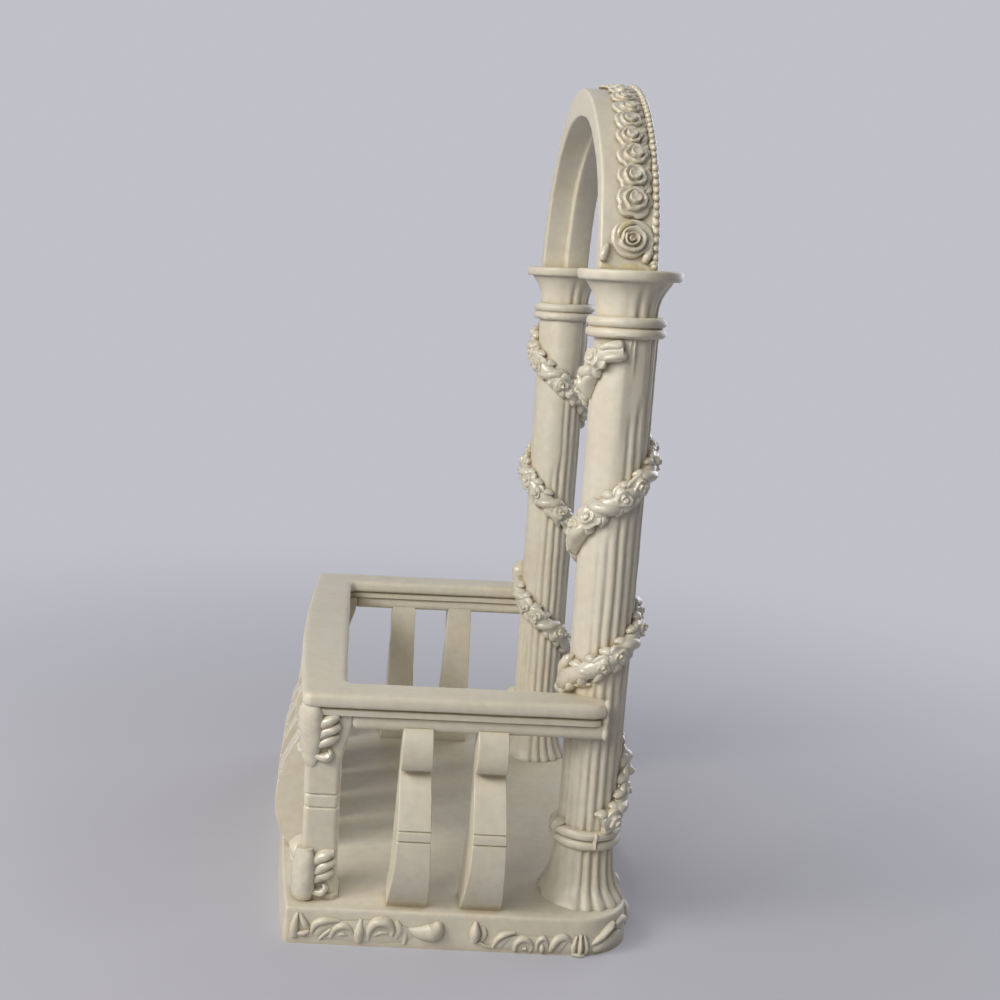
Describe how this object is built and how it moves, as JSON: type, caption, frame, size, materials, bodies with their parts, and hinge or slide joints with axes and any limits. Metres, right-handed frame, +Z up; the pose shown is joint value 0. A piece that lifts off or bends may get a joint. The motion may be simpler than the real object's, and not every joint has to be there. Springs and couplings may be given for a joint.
{
  "type": "miniature arch",
  "caption": "Ivory cake-top arch with fluted columns, rose garlands and a low balustrade on a plinth, which frames small standing figures.",
  "frame": {"origin": "centre of the underside of the bounding box, on the surface that the plinth stands on", "axes": "+Z up; the rose-trimmed front of the arch faces -Y and the bowed balustrade faces +Y; +X to the right seen from the front"},
  "size_m": [0.122, 0.0868, 0.2],
  "materials": {
    "plinth_resin": "satin cast resin",
    "column_resin": "satin cast resin",
    "balustrade_resin": "satin cast resin",
    "arch_resin": "satin cast resin",
    "trim_resin": "semi-gloss cast resin"
  },
  "bodies": {
    "root": {"abacus_left": "column_resin", "abacus_right": "column_resin", "arch_band": "arch_resin", "base_plinth": "plinth_resin", "bead_edging": "trim_resin", "capital_bell_left": "column_resin", "capital_bell_right": "column_resin", "column_foot_left": "column_resin", "column_foot_right": "column_resin", "column_shaft_left": "column_resin", "column_shaft_right": "column_resin", "garland_left": "trim_resin", "garland_right": "trim_resin", "large_rose_left": "trim_resin", "large_rose_right": "trim_resin", "lower_collar_left": "column_resin", "lower_collar_right": "column_resin", "rear_baluster_1": "balustrade_resin", "rear_baluster_2": "balustrade_resin", "rear_baluster_3": "balustrade_resin", "rear_baluster_4": "balustrade_resin", "rear_leaf_high_left": "trim_resin", "rear_leaf_high_right": "trim_resin", "rear_leaf_low_left": "trim_resin", "rear_leaf_low_right": "trim_resin", "rear_post_left": "balustrade_resin", "rear_post_right": "balustrade_resin", "rear_rail": "balustrade_resin", "rear_under_rail": "balustrade_resin", "rose_swag_left": "trim_resin", "rose_swag_right": "trim_resin", "side_baluster_left_1": "balustrade_resin", "side_baluster_left_2": "balustrade_resin", "side_baluster_right_1": "balustrade_resin", "side_baluster_right_2": "balustrade_resin", "side_leaf_high_left": "trim_resin", "side_leaf_high_right": "trim_resin", "side_leaf_low_left": "trim_resin", "side_leaf_low_right": "trim_resin", "side_rail_left": "balustrade_resin", "side_rail_right": "balustrade_resin", "side_under_rail_left": "balustrade_resin", "side_under_rail_right": "balustrade_resin", "top_rose": "trim_resin", "upper_collar_left": "column_resin", "upper_collar_right": "column_resin"}
  },
  "joints": []
}
